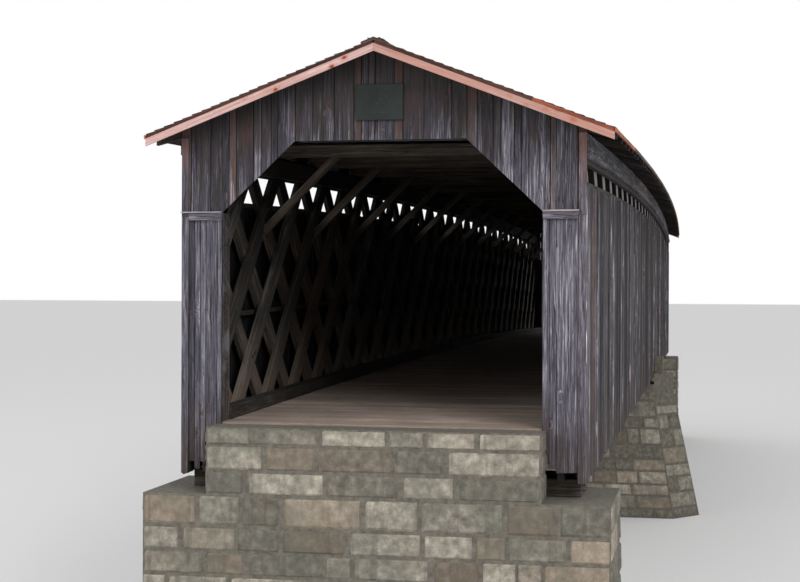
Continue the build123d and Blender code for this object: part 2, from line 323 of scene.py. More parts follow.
# What a wood has where its own look doesn't say otherwise. Colours are 0 to 255, lengths in metres.
woodBase = {
    "places": (0.36, 0.46, 0.54, 0.65), "warmShare": 0.4, "patchShare": 0.5, "patchScale": 1.3,
    "streakScale": 55.0, "knotSize": 0.07, "knotShare": 0.4, "knotCells": (2.1, 5.0, 0.0), "knotDepth": 0.85,
    "ringDepth": 0.3, "crackDepth": 0.75, "fibreDepth": 0.25, "rough": 0.88, "bump": (0.8, 0.006),
}


def woodMaterial(name, colours, **look):
    # colours of the grain from dark to pale
    look = {**woodBase, **look}
    material, t = newMaterial(name)
    grain, place = t.attribute("grain", "Vector"), t.place()
    tone, hue = t.attribute("tone"), t.attribute("hue")
    fine = t.group(grainTree, {
        "Vector": grain, "Tone": tone, "Streak scale": look["streakScale"], "Knot size": look["knotSize"],
        "Knot share": look["knotShare"], "Knot cells": look["knotCells"]})
    weather = t.group(weatherTree, {"Vector": place, "Patch scale": look["patchScale"]})
    drips, (sideways, _, height) = weather["Drips"], t.split(place)
    lightness = t.plus(t.times(fine["Streaks"], 0.72), t.times(fine["Bands"], 0.28))
    colour = t.ramp(lightness, look["places"], colours)
    # each board has its own lightness and warmth
    colour = t.scaled(colour, t.spread(tone, 0.0, 1.0, *look["toneRange"]))
    colour = t.blend(t.times(t.spread(hue, 0.55, 1.0), look["warmShare"]), colour, look["warm"])
    contrast = look["fibreDepth"]
    colour = t.scaled(colour, t.spread(fine["Fibres"], 0.3, 0.7, 1 - contrast, 1 + contrast))
    colour = t.blend(t.spread(weather["Patches"], 0.42, 0.62, 0.0, look["patchShare"]), colour, look["patch"])
    if "panels" in look:
        # neighbouring boards have weathered alike, in groups along the wall
        groups = t.noise(t.stretched(place, (0.0, look["panels"]["scale"], 0.03)), 1.0, 3.0, 0.7)
        colour = t.scaled(colour, t.spread(groups, 0.36, 0.64, *look["panels"]["range"]))
    if "bleach" in look:
        colour = bleached(t, height, drips, colour, look["bleach"])
    if "underRoof" in look:
        colour = bandUnderRoof(t, place, weather, fine, tone, hue, colour, look["underRoof"])
    if "moss" in look:
        colour = t.blend(t.times(weather["Specks"], 0.6), colour, look["moss"])
    for mask, share, shade in (("Knot rings", "ringDepth", look.get("ring", look["knot"])),
                               ("Knots", "knotDepth", look["knot"]), ("Cracks", "crackDepth", look["crack"])):
        colour = t.blend(t.times(fine[mask], look[share]), colour, shade)
    if "foot" in look:
        colour = footDirt(t, height, drips, colour, look["foot"])
    along, across, depth = t.split(grain)
    outside = t.maths("SIGN", sideways)
    if "edges" in look:
        # painted highlight along one long edge and painted shade along the other, as in the gaps between
        # boards
        half, bright, dark = look["edges"]
        colour = t.scaled(colour, t.times(t.spread(across, half - 0.016, half - 0.004, 1.0, bright),
                                          t.spread(across, -half + 0.004, -half + 0.02, dark, 1.0)))
    if "rims" in look:
        # the edges toward and away from the middle of the bridge, whatever the board's width: darker as
        # joints on the gable boards, and on the corner wood a painted highlight on the outer edge and painted
        # shade on the inner
        side, half, _ = t.split(t.attribute("rim", "Vector"))
        inward = t.times(t.minus(1.0, t.maths("ABSOLUTE", side)), half)
        gain = t.spread(t.times(side, outside), -0.1, 0.1, *look["rims"])
        colour = t.scaled(colour, t.spread(inward, 0.001, 0.008, gain, 1.0))
    if "inner" in look:
        # faces turned into the bridge get painted shade
        colour = t.scaled(colour, t.spread(depth, -0.0105, -0.006, look["inner"], 1.0))
    for end in look.get("ends", []):
        # ends of a stick: dusty feet, tops in painted shade, and tops with a painted highlight on the outward
        # faces
        reach = t.plus(along, t.times(t.minus(fine["Bands"], 0.5), 0.8))
        mask = t.spread(reach, *end["reach"], 0.0, end["share"])
        if end.get("outward"):
            mask = t.times(mask, t.spread(t.times(depth, outside), 0.03, 0.036))
        colour = t.blend(mask, colour, end["colour"])
    rough = t.spread(fine["Streaks"], 0.3, 0.7, look["rough"] - 0.07, look["rough"] + 0.07)
    finish(t, colour, rough, 0.2, bump=(fine["Height"], *look["bump"]))
    return material


friezeBoards = woodMaterial(
    "friezeBoards", ((34, 33, 35), (76, 74, 78), (102, 99, 105), (160, 156, 162)),
    places=(0.36, 0.46, 0.54, 0.64), toneRange=(0.6, 1.6), warm=(92, 80, 74), knot=(20, 18, 18),
    crack=(10, 10, 11), patch=(40, 38, 41), patchShare=0.6, patchScale=5.0, moss=(150, 147, 150))
# siding: a painted highlight and painted shade on the long edges, painted shade on the inner faces and on the
# tops under the eaves
sideBoards = woodMaterial(
    "sideBoards", ((14, 13, 15), (40, 38, 41), (61, 58, 63), (134, 130, 138)),
    places=(0.38, 0.46, 0.53, 0.62), toneRange=(0.22, 1.95), warm=(80, 66, 60), warmShare=0.5,
    knot=(28, 23, 22), crack=(12, 12, 13), patch=(42, 40, 44), patchShare=0.4, inner=0.1,
    edges=(0.111, 2.0, 0.3), panels={"scale": 1.1, "range": (0.4, 1.45)},
    bleach={"levels": (1.9, 3.0), "fringe": 0.15, "topGain": 0.6},
    foot={"levels": (-0.6, 0.4), "share": 0.5, "colour": (58, 50, 44)})
wallWood = {
    "colours": ((18, 17, 19), (64, 61, 68), (92, 89, 98), (152, 148, 156)),
    "places": (0.36, 0.45, 0.53, 0.63), "toneRange": (0.45, 1.5), "warm": (104, 84, 76), "warmShare": 0.5,
    "streakScale": 70.0, "rims": (0.3, 0.3), "knot": (64, 34, 26), "ring": (84, 56, 47),
    "crack": (14, 13, 15), "patch": (66, 65, 74), "patchShare": 0.4, "knotShare": 0.75, "knotSize": 0.055,
    "bleach": {"levels": (2.2, 4.1), "fringe": 0.4, "topGain": 0.44},
    "underRoof": {"reach": (0.3, 0.62), "share": 0.7, "uneven": 0.9, "brown": (70, 50, 43),
              "dark": (44, 39, 37)},
    "foot": {"levels": (-0.45, 0.45), "share": 0.6, "colour": (66, 55, 49)}}
gableBoards = woodMaterial("gableBoards", **wallWood)
# corner wood: its rims paint a highlight on the outer edges and shade on the inner ones
cornerWood = woodMaterial("cornerWood", **{
    **wallWood, "rims": (0.45, 1.7), "bleach": {"levels": (2.2, 4.1), "fringe": 0.4, "topGain": 1.1},
    "underRoof": {"reach": (0.35, 0.95), "share": 0.75, "uneven": 0.4, "brown": (124, 82, 64),
              "dark": (84, 76, 78)}})
paleLedge = woodMaterial(
    "paleLedge", ((92, 87, 88), (132, 127, 129), (152, 147, 150), (184, 180, 182)),
    toneRange=(0.85, 1.15), warm=(150, 120, 104), knot=(60, 44, 38), crack=(36, 32, 32),
    patch=(108, 102, 104), bump=(0.6, 0.004))
oldTimber = woodMaterial(
    "oldTimber", ((34, 31, 28), (58, 54, 49), (76, 70, 63), (104, 96, 87)), toneRange=(0.65, 1.4),
    warm=(82, 64, 50), knot=(30, 24, 21), crack=(16, 14, 13), patch=(50, 47, 44), patchShare=0.4,
    bump=(0.7, 0.005), streakScale=42.0)
plankWood = {
    "colours": ((26, 24, 23), (54, 51, 48), (76, 72, 68), (122, 115, 108)), "toneRange": (0.6, 1.5),
    "warm": (88, 66, 50), "knot": (30, 24, 21), "crack": (14, 12, 11), "patch": (46, 43, 41),
    "patchShare": 0.4, "bump": (0.7, 0.005), "streakScale": 42.0}
dustyFeet = {"reach": (-0.4, -2.0), "share": 0.5, "colour": (128, 114, 102)}
# painted shade on the lattice tops inside the bridge, and a painted highlight on the outer layer's outward
# tops
shadedTops = {"reach": (1.6, 2.1), "share": 0.92, "colour": (15, 14, 14)}
litTops = {"reach": (1.8, 2.2), "share": 0.85, "colour": (142, 137, 140), "outward": True}
latticeWood = [woodMaterial("latticeInner", **plankWood, ends=[dustyFeet, shadedTops]),
               woodMaterial("latticeOuter", **plankWood, ends=[dustyFeet, shadedTops, litTops])]
liningBoards = woodMaterial(
    "liningBoards", ((8, 8, 9), (40, 39, 40), (70, 68, 69), (142, 138, 136)),
    places=(0.4, 0.47, 0.53, 0.6), toneRange=(0.45, 0.85), warm=(84, 70, 62), streakScale=34.0,
    knot=(22, 18, 17), crack=(10, 9, 9), patch=(118, 118, 121), patchShare=0.7, patchScale=3.0,
    moss=(146, 146, 146), bleach={"levels": (0.5, 2.9), "fringe": 0.5, "topGain": 0.4})
# a dark wood for the roof and the frame inside the bridge, darkened partly as painted shade
darkShadedBoards = woodMaterial(
    "darkShadedBoards", ((20, 18, 17), (34, 31, 29), (46, 43, 40), (72, 68, 64)), toneRange=(0.5, 1.8),
    warm=(58, 44, 34), warmShare=0.5, knot=(20, 16, 14), crack=(10, 9, 9), patch=(30, 28, 27), patchShare=0.4,
    bump=(0.5, 0.004))
deckPlanks = woodMaterial(
    "deckPlanks", ((120, 108, 100), (146, 131, 122), (158, 143, 133), (178, 163, 152)),
    toneRange=(0.8, 1.2), warm=(156, 130, 110), knot=(92, 74, 62), crack=(64, 55, 50), patch=(126, 114, 106),
    bump=(0.4, 0.003), knotShare=0.2, knotDepth=0.4)
trimPlaces = (0.34, 0.45, 0.55, 0.68)
newTrim = woodMaterial(
    "newTrim", ((146, 104, 92), (173, 140, 134), (185, 156, 152), (202, 180, 176)), places=trimPlaces,
    toneRange=(0.86, 1.1), warm=(164, 104, 80), warmShare=0.35, fibreDepth=0.08, knot=(104, 44, 30),
    ring=(160, 88, 64), ringDepth=0.7, crack=(112, 66, 52), crackDepth=0.4, patch=(166, 116, 100),
    patchShare=0.45, bump=(0.4, 0.003), rough=0.75, knotSize=0.075, knotShare=1.0, knotCells=(3.6, 6.0, 0.0))
darkTrim = woodMaterial(
    "darkTrim", ((36, 22, 19), (58, 36, 30), (76, 50, 42), (108, 76, 66)), places=trimPlaces,
    toneRange=(0.6, 1.3), warm=(84, 50, 38), knot=(34, 20, 16), crack=(24, 15, 12), patch=(52, 34, 30),
    bump=(0.5, 0.004))
eaveTrim = woodMaterial(
    "eaveTrim", ((54, 42, 37), (86, 70, 62), (112, 94, 84), (150, 130, 118)), places=trimPlaces,
    toneRange=(0.6, 1.3), warm=(178, 104, 76), warmShare=0.8, knot=(48, 30, 24), crack=(36, 26, 22),
    patch=(72, 58, 50), bump=(0.5, 0.004))
redTrim = woodMaterial(
    "redTrim", ((70, 34, 24), (112, 56, 38), (140, 78, 56), (176, 116, 92)), places=trimPlaces,
    toneRange=(0.5, 1.4), warm=(150, 78, 46), warmShare=0.5, fibreDepth=0.15, knot=(60, 26, 18),
    crack=(44, 22, 16), patch=(88, 46, 34), bump=(0.5, 0.004))
shingleWood = woodMaterial(
    "shingleWood", ((38, 33, 32), (64, 57, 55), (84, 76, 73), (120, 111, 107)), toneRange=(0.5, 1.7),
    warm=(98, 68, 54), warmShare=0.6, knot=(40, 32, 30), crack=(24, 20, 19), patch=(58, 56, 56),
    bump=(0.6, 0.003), knotShare=0.05, streakScale=60.0)


def stoneMaterial():
    material, t = newMaterial("courseStone")
    tone, place = t.attribute("tone"), t.place()
    weather = t.group(weatherTree, {"Vector": place, "Speck scale": 60.0})
    colour = t.ramp(t.noise(place, 9.0, 6.0, 0.65), (0.3, 0.5, 0.7),
                    ((92, 88, 80), (124, 119, 108), (156, 150, 138)))
    hue = t.spread(t.maths("FRACT", t.times(tone, 9.7)), 0.55, 1.0, 0.0, 0.45)
    colour = t.scaled(t.blend(hue, colour, (128, 108, 90)), t.spread(tone, 0.0, 1.0, 0.6, 1.3))
    colour = t.blend(t.spread(weather["Patches"], 0.46, 0.62, 0.0, 0.4), colour, (88, 90, 80))
    colour = t.blend(t.times(weather["Specks"], 0.5), colour, (64, 62, 56))
    colour = t.blend(t.spread(weather["Drips"], 0.52, 0.7, 0.0, 0.45), colour, (74, 72, 66))
    height = t.plus(t.noise(place, 26.0, 7.0, 0.7), t.times(t.noise(place, 140.0, 3.0), 0.25))
    finish(t, colour, 0.92, 0.25, bump=(height, 0.7, 0.012))
    return material


def plainMaterial(name, noise, places, colours, rough, specular=0.5, metallic=0.0, chips=None, bump=None):
    # soft noise between two colours, with chips in the paint and fine bumps where they are given
    material, t = newMaterial(name)
    place = t.place()
    colour = t.ramp(t.noise(place, *noise), places, colours)
    if chips:
        colour = t.blend(t.spread(t.noise(place, 45.0, 2.0, 0.5), 0.70, 0.74, 0.0, 0.5), colour, chips)
    if bump:
        bump = (t.noise(place, *bump["noise"]), bump["strength"], bump["depth"])
    finish(t, colour, rough, specular, metallic, bump)
    return material


courseStone = stoneMaterial()
mortar = plainMaterial("mortar", (14.0, 6.0, 0.7), (0.3, 0.7), ((70, 67, 60), (110, 105, 95)), 0.95,
                       bump={"noise": (60.0, 5.0), "strength": 0.6, "depth": 0.008})
plaquePaint = plainMaterial("plaquePaint", (3.0, 5.0, 0.6), (0.3, 0.7), ((26, 31, 29), (37, 42, 40)), 0.7,
                            specular=0.2, chips=(92, 98, 90),
                            bump={"noise": (90.0, 3.0), "strength": 0.2, "depth": 0.002})
rustyNail = plainMaterial("rustyNail", (70.0, 3.0), (0.35, 0.65), ((36, 30, 28), (84, 54, 38)), 0.8,
                          metallic=0.3)
print("materials made")


def endField(t, given, instances, draws):
    # gives each board or pin its own draws and its material
    for name, value in draws.items():
        instances = t.stored(instances, name, value)
    real = t.add("GeometryNodeRealizeInstances", {0: instances}).outputs[0]
    done = t.add("GeometryNodeSetMaterial", {"Geometry": real, "Material": given["Finish"]}).outputs[0]
    return endGroup(t, "Geometry", {"Geometry": done})


# A field of boards in rows: siding, planks, lattice layers and shingles all come from this tree
def boardTree():
    t, given = newGroup("boardField", "GeometryNodeTree", {
        "Count": 10, "Rows": 1, "Start": "Vector", "Run": "Vector", "Row step": "Vector", "Size": "Vector",
        "Turn": "Rotation", "Width spread": 0.0, "Length spread": 0.0, "Slide": 0.0, "Lift": 0.0,
        "Twist": 0.0, "Joint": 0.0, "Shear": 0.0, "Cuts": 2, "Seed": 1, "Finish": "Material"})
    count, rows, start, run, rowStep, size, turn, wide, long, *rest = given
    slide, lift, twist, joint, shear, cuts, seed = rest[:7]

    def draw(low, high, salt):
        limits = {2: low, 3: high, "Seed": t.plus(seed, float(salt))}
        return t.add("FunctionNodeRandomValue", limits, data_type="FLOAT").outputs[1]

    index = t.add("GeometryNodeInputIndex").outputs[0]
    row = t.maths("FLOOR", t.maths("DIVIDE", index, count))
    points = t.add("GeometryNodePoints", {"Count": t.times(count, rows)}).outputs[0]
    share = draw(t.minus(1.0, wide), t.plus(1.0, wide), 0)
    sums = t.add("GeometryNodeAccumulateField", {"Value": share, "Group ID": row}, data_type="FLOAT").outputs
    along = t.maths("DIVIDE", t.plus(pick(sums, "Trailing"), t.times(share, 0.5)), pick(sums, "Total"))
    place = t.moved(start, t.scaled(run, along))
    place = t.moved(place, t.scaled(rowStep, row))
    nudge = t.combined(draw(-1.0, 1.0, 3), 0.0, draw(-1.0, 1.0, 4))
    nudge = t.stretched(nudge, t.combined(slide, 0.0, lift))
    nudge = t.add("FunctionNodeRotateVector", {0: nudge, 1: turn}).outputs[0]
    place = t.moved(place, nudge)
    points = t.add("GeometryNodeSetPosition", {"Geometry": points, "Position": place}).outputs[0]
    # one board, sheared at its ends where the row asks for it, with its own grain coordinates
    size = t.vector("SUBTRACT", size, t.combined(0.0, joint))
    board = t.add("GeometryNodeMeshCube", {"Size": size, "Vertices X": cuts}).outputs[0]
    where = t.add("GeometryNodeInputPosition").outputs[0]
    slant = t.combined(t.times(t.split(where)[1], shear))
    board = t.add("GeometryNodeSetPosition", {"Geometry": board, "Offset": slant}).outputs[0]
    board = t.stored(board, "grain", where, "FLOAT_VECTOR", "POINT")
    longer = draw(t.times(long, -1.0), long, 5)
    wider = t.times(share, t.maths("DIVIDE", count, pick(sums, "Total")))
    wring = t.combined(0.0, 0.0, t.times(draw(-1.0, 1.0, 6), twist))
    wring = t.add("FunctionNodeEulerToRotation", {0: wring}).outputs[0]
    turns = {0: turn, 1: wring}
    turn = t.add("FunctionNodeRotateRotation", turns, rotation_space="LOCAL").outputs[0]
    size = t.combined(t.plus(1.0, longer), wider, 1.0)
    laid = t.add("GeometryNodeInstanceOnPoints", {
        "Points": points, "Instance": board, "Rotation": turn, "Scale": size})
    return endField(t, given, laid.outputs[0], {"tone": draw(0.0, 1.0, 9), "hue": draw(0.0, 1.0, 10)})


# A row of round pins or nail heads
def pinTree():
    t, given = newGroup("pinRows", "GeometryNodeTree", {
        "Count": 10, "Start": "Vector", "Step": "Vector", "Radius": 0.02, "Length": 0.1, "Sides": 8,
        "Turn": "Rotation", "Seed": 1, "Finish": "Material"})
    index = t.add("GeometryNodeInputIndex").outputs[0]
    place = t.moved(given["Start"], t.scaled(given["Step"], index))
    points = t.add("GeometryNodePoints", {"Count": given["Count"], "Position": place}).outputs[0]
    pin = t.add("GeometryNodeMeshCylinder", {
        "Vertices": given["Sides"], "Radius": given["Radius"], "Depth": given["Length"]}).outputs[0]
    pin = t.stored(pin, "grain", t.add("GeometryNodeInputPosition").outputs[0], "FLOAT_VECTOR", "POINT")
    pins = t.add("GeometryNodeInstanceOnPoints", {
        "Points": points, "Instance": pin, "Rotation": given["Turn"]}).outputs[0]
    draw = {2: 0.0, 3: 1.0, "ID": index, "Seed": given["Seed"]}
    tone = t.add("FunctionNodeRandomValue", draw, data_type="FLOAT").outputs[1]
    return endField(t, given, pins, {"tone": tone})


boardField = boardTree()
pinRows = pinTree()


def placed(name, data):
    obj = bpy.data.objects.new(name, data)
    bpy.context.scene.collection.objects.link(obj)
    return obj


def soften(obj, width, angle=30):
    edge = obj.modifiers.new("soften", "BEVEL")
    edge.width, edge.segments, edge.limit_method = width, 1, "ANGLE"
    edge.angle_limit = math.radians(angle)


def applied(obj):
    # the piece's modifiers become its plain mesh
    graph = bpy.context.evaluated_depsgraph_get()
    live = obj.evaluated_get(graph)
    mesh = bpy.data.meshes.new_from_object(live, preserve_all_data_layers=True, depsgraph=graph)
    obj.modifiers.clear()
    old, obj.data = obj.data, mesh
    bpy.data.meshes.remove(old)
    return obj


def fromTree(name, tree, values, edge=0.0):
    obj = placed(name, bpy.data.meshes.new(name))
    build = obj.modifiers.new("build", "NODES")
    build.node_group = tree
    for item in tree.interface.items_tree:
        if item.item_type == "SOCKET" and item.in_out == "INPUT" and item.name in values:
            build[item.identifier] = values[item.name]
    if edge:
        soften(obj, edge)
    return applied(obj)


def settle(obj, replaced=()):
    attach(obj, "root")
    if replaced:
        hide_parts(*replaced)


def joined(name, pieces):
    with bpy.context.temp_override(active_object=pieces[0], selected_editable_objects=pieces):
        bpy.ops.object.join()
    pieces[0].name = name
    return pieces[0]


def bendIn(obj, replaced=()):
    # takes a piece made on a straight bridge to the bowed and cambered frame
    co = bent(meshPoints(obj.data))
    obj.data.vertices.foreach_set("co", co.astype(np.float32).ravel())
    obj.data.update()
    settle(obj, replaced)


def turned(length, thick):
    # angles that lay a board's length and thickness along two directions
    length, thick = Vector(length).normalized(), Vector(thick).normalized()
    return tuple(Matrix((length, thick.cross(length), thick)).transposed().to_euler())


def islands(bm):
    # loose parts and their vertices, always in the order of the mesh
    bm.verts.index_update()
    bm.verts.ensure_lookup_table()
    seen, found = set(), []
    for first in range(len(bm.verts)):
        if first in seen:
            continue
        front, group = [first], {first}
        while front:
            near = {v.index for edge in bm.verts[front.pop()].link_edges for v in edge.verts} - group
            group |= near
            front += near
        seen |= group
        found.append([bm.verts[i] for i in sorted(group)])
    return found


mergeDistance = 1e-5


def trimmed(bm, place, normal, close=True, **more):
    # cuts off what lies beyond a plane
    geometry = bm.verts[:] + bm.edges[:] + bm.faces[:]
    bmesh.ops.bisect_plane(bm, geom=geometry, plane_co=place, plane_no=normal, clear_outer=True, **more)
    if close:
        bmesh.ops.holes_fill(bm, edges=[e for e in bm.edges if e.is_boundary], sides=0)


def sawn(bm, places, axis, gap):
    # splits a mesh into closed lengths between the given places on one axis
    normal = Vector([float(i == axis) for i in range(3)])
    low = min(v.co[axis] for v in bm.verts) - 1
    high = max(v.co[axis] for v in bm.verts) + 1
    marks = [low] + sorted(p for p in places if low + 1 < p < high - 1) + [high]
    result = bmesh.new()
    for a, b in zip(marks, marks[1:]):
        piece = bm.copy()
        for at, sign in ((a + gap / 2, -1), (b - gap / 2, 1)):
            trimmed(piece, normal * at, normal * sign, dist=mergeDistance)
        spare = bpy.data.meshes.new("spare")
        piece.to_mesh(spare)
        piece.free()
        result.from_mesh(spare)
        bpy.data.meshes.remove(spare)
    bm.free()
    return result


def cleanMesh(nodeNames):
    bm = bmesh.new()
    for name in nodeNames:
        bm.from_mesh(nodes[name].data)
    bmesh.ops.remove_doubles(bm, verts=bm.verts, dist=mergeDistance)
    bmesh.ops.dissolve_limit(bm, angle_limit=math.radians(0.02), verts=bm.verts, edges=bm.edges)
    return bm


# Sticks cut from the CAD solids: each one gets grain along its own length, a tone of its own and soft edges
stickLook = {"bevelAngle": 25, "footBand": 0.02, "footChips": 0.05, "lengths": (0.75, 1.25), "leastEnd": 1.2}


def sticks(name, nodeNames, material, slotName, joints=(), axis=1, gap=0.002, edge=0.004, seed=1,
           wander=0.0, direction=None, tones=None, source=None, feet=0.0):
    bm = source or cleanMesh(nodeNames)
    if len(joints):
        bm = sawn(bm, joints, axis, gap)
    rng = np.random.default_rng(seed)
    groups = islands(bm)
    groups.sort(key=lambda g: tuple(round(c, 3) for c in sum((v.co for v in g), Vector()) / len(g)))
    grain, rim, own = (np.zeros((len(bm.verts), width), np.float32) for width in (3, 3, 2))
    for group in groups:
        if feet:
            # rotted feet, no two boards alike
            floor = min(v.co.z for v in group)
            lift = rng.uniform(0, feet)
            for v in group:
                if v.co.z < floor + stickLook["footBand"]:
                    v.co.z += lift + rng.uniform(0, stickLook["footChips"])
        co = np.array([v.co for v in group])
        centre = (co.min(0) + co.max(0)) / 2
        if direction is None:
            axes = np.linalg.svd(co - co.mean(0), full_matrices=False)[2]
            axes = axes * np.sign(axes[np.arange(3), np.abs(axes).argmax(1)])[:, None]
        else:
            axes = np.eye(3)[list(direction)]
        if np.linalg.det(axes) < 0:
            axes = axes * np.array([[1], [1], [-1]])
        draws, push = rng.random(2), rng.uniform(-1, 1, 3) * wander
        if tones:
            draws = tones(centre, draws)
        local = (co - centre) @ axes.T
        half = max(np.abs(local[:, 1]).max(), 1e-4)
        for v, spot in zip(group, local):
            grain[v.index], rim[v.index], own[v.index] = spot, (spot[1] / half, half, 0), draws
            v.co += Vector(push)
    mesh = bpy.data.meshes.new(name)
    bm.to_mesh(mesh)
    bm.free()
    for label, values in (("grain", grain), ("rim", rim)):
        mesh.attributes.new(label, "FLOAT_VECTOR", "POINT").data.foreach_set("vector", values.ravel())
    for label, values in zip(("tone", "hue"), own.T):
        mesh.attributes.new(label, "FLOAT", "POINT").data.foreach_set("value", np.ascontiguousarray(values))
    mesh.materials.append(material)
    obj = placed(name, mesh)
    soften(obj, edge, stickLook["bevelAngle"])
    applied(obj).data.name = name
    settle(obj, nodeNames)


def jointsAlong(seed, mean=4.9, past=0.0):
    # where long timbers butt end to end
    rng = np.random.default_rng(seed)
    out, y = [], -halfLength - past + mean * rng.uniform(0.5, 1.0)
    while y < halfLength + past - stickLook["leastEnd"]:
        out.append(y)
        y += mean * rng.uniform(*stickLook["lengths"])
    return out


# High girts are darkened as painted shade. The curb is paler and the eave strip warmer close to the near
# entrance.
toneLook = {"girtLevel": 3, "curbReach": 4, "eaveReach": 3}


def girtShadeTones(centre, draws):
    return 0.1 if centre[2] > deckLevel + toneLook["girtLevel"] else 0.7 + 0.3 * draws[0], draws[1]


def curbTones(centre, draws):
    pale = centre[1] < toneLook["curbReach"] - halfLength
    return (0.95 if pale else 0.55) + draws[0] * 0.05, draws[1] * 0.5


def eaveTones(centre, draws):
    return draws[0], 1.0 if centre[1] < toneLook["eaveReach"] - halfLength else draws[1] * 0.6


# Frame timbers of a side: piece, CAD node, finish, slot, mean length between joints, and what else they have
# the chords, girts, curb and rafters take the dark shaded boards as painted shade inside the bridge
sideTimbers = [
    ("chord_planks", "chords", darkShadedBoards, "old_timber", 4.9, {}),
    ("girt_rails", "girts", darkShadedBoards, "old_timber", 3.7, {"tones": girtShadeTones}),
    ("curb_timbers", "curb", darkShadedBoards, "old_timber", 4.2,
     {"gap": 0.005, "edge": 0.008, "tones": curbTones}),
    ("knee_brace_set", "knee_braces", oldTimber, "old_timber", None, {}),
    ("plate_timbers", "wall_plate", oldTimber, "old_timber", 5.5, {}),
    ("rafter_set", "rafters", darkShadedBoards, "old_timber", None, {}),
    ("frieze_boards", "frieze", friezeBoards, "weathered_boards", 3.9,
     {"edge": 0.003, "direction": (1, 2, 0)}),
    ("eave_strip", "eave_edge", eaveTrim, "new_trim", 3.6, {"edge": 0.003, "tones": eaveTones}),
]
for side, firstSeed in (("left", 10), ("right", 30)):
    for seed, (name, node, material, slotName, mean, more) in enumerate(sideTimbers, firstSeed):
        sticks(side + "_" + name, [side + "_" + node], material, slotName,
               jointsAlong(seed, mean) if mean else (), seed=seed, **more)
sticks("floor_beam_set", ["floor_beams"], oldTimber, "old_timber", seed=50, edge=0.006)
sticks("joist_set", ["floor_joists"], oldTimber, "old_timber", jointsAlong(54, 4.6), seed=54)
sticks("tie_beam_set", ["tie_beams"], oldTimber, "old_timber", seed=51, edge=0.006)
sticks("bed_timber_set", ["near_bed_timbers", "far_bed_timbers", "pier_bed_timbers"], oldTimber, "old_timber",
       seed=52, edge=0.008)
sticks("ridge_boards", ["ridge_cap"], shingleWood, "shingle_roof", jointsAlong(53, 3.6, 0.3), seed=53)
print("timbers made")

# Lattice planks
pitchCount = 28
latticePitch = 2 * halfLength / pitchCount
latticeLook = {"thick": 0.076, "width": 0.254, "pitch": latticePitch, "firstCrossing": 1.07 * latticePitch,
               "crossingHeight": 0.019, "planksBefore": 4, "planks": 36}


def latticePlanks(side):
    low, high = straightBox(side + "_lattice")
    look, middle, pieces = latticeLook, (low.z + high.z) / 2, []
    for layer, lean in ((0, 1), (1, -1)):
        inner = (low.x + high.x) / 2 + (0.5 if (side == "right") == bool(layer) else -0.5) * look["thick"]
        first = -halfLength + look["firstCrossing"] - look["planksBefore"] * look["pitch"]
        start = first + lean * (middle - look["crossingHeight"]) - look["pitch"] / 2
        pieces.append(fromTree("boards", boardField, {
            "Count": look["planks"], "Start": (inner, start, middle),
            "Run": (0, look["planks"] * look["pitch"], 0),
            "Size": ((high.z - low.z) * math.sqrt(2), look["width"], look["thick"]),
            "Turn": turned((0, lean, 1), (1, 0, 0)), "Shear": float(lean), "Cuts": 7, "Seed": 60 + layer,
            "Finish": latticeWood[layer]}, 0.004))
    obj = joined(side + "_lattice_planks", pieces)
    bm = bmesh.new()
    bm.from_mesh(obj.data)
    for end in (-1, 1):
        trimmed(bm, (0, end * (halfLength - boardThick), 0), (0, end, 0), close=end > 0)
    bm.to_mesh(obj.data)
    bm.free()
    bendIn(obj, [side + "_lattice"])


for side in ("left", "right"):
    latticePlanks(side)
print("lattice made")

# Siding: upright boards of mixed widths with ragged feet
sidingLook = {"board": 0.225, "thick": 0.022, "spread": 0.3, "proud": 0.009, "joint": 0.003, "lap": 0.03,
              "short": {"left": 0.03, "right": 0.09}}


def sidingBoards(side, seed):
    low, high = straightBox(side + "_siding")
    run, short = high.y - low.y, sidingLook["short"][side]
    count = round(run / sidingLook["board"])
    obj = fromTree(side + "_siding_boards", boardField, {
        "Count": count, "Run": (0, run, 0),
        "Start": ((low.x + high.x) / 2, low.y, (low.z + high.z - short + sidingLook["lap"]) / 2),
        "Size": (high.z - low.z - short, run / count, sidingLook["thick"]),
        "Turn": turned((0, 0, 1), (1 if side == "right" else -1, 0, 0)), "Cuts": 4, "Seed": seed,
        "Width spread": sidingLook["spread"], "Length spread": 0.007, "Slide": 0.02, "Twist": 0.001,
        "Lift": sidingLook["proud"], "Joint": sidingLook["joint"], "Finish": sideBoards}, 0.003)
    bendIn(obj, [side + "_siding"])


sidingBoards("left", 101)
sidingBoards("right", 102)

# Deck planks across the roadway
deckLook = {"plank": 0.228, "spread": 0.18, "joint": 0.005, "lower": 0.002, "shorter": 0.02}


def deckPlanking():
    low, high = straightBox("deck")
    run = high.y - low.y
    count = round(run / deckLook["plank"])
    obj = fromTree("deck_planking", boardField, {
        "Count": count, "Start": ((low.x + high.x) / 2, low.y, (low.z + high.z) / 2), "Run": (0, run, 0),
        "Size": (high.x - low.x - deckLook["shorter"], run / count, deckThick - deckLook["lower"]),
        "Turn": turned((1, 0, 0), (0, 0, 1)), "Width spread": deckLook["spread"], "Length spread": 0.002,
        "Slide": 0.005, "Lift": 0.0015, "Joint": deckLook["joint"], "Seed": 110, "Finish": deckPlanks}, 0.003)
    bendIn(obj, ["deck"])


deckPlanking()

# Roof: split shingles over lengthwise sheathing boards
roofLook = {"courses": 24, "shingleWidth": 0.15, "shingleLength": 0.2, "butt": 0.010, "clear": 0.001,
            "proud": 0.004, "sheathing": 0.022, "boardRows": 9, "boardsUp": 14, "boardJoint": 0.004}


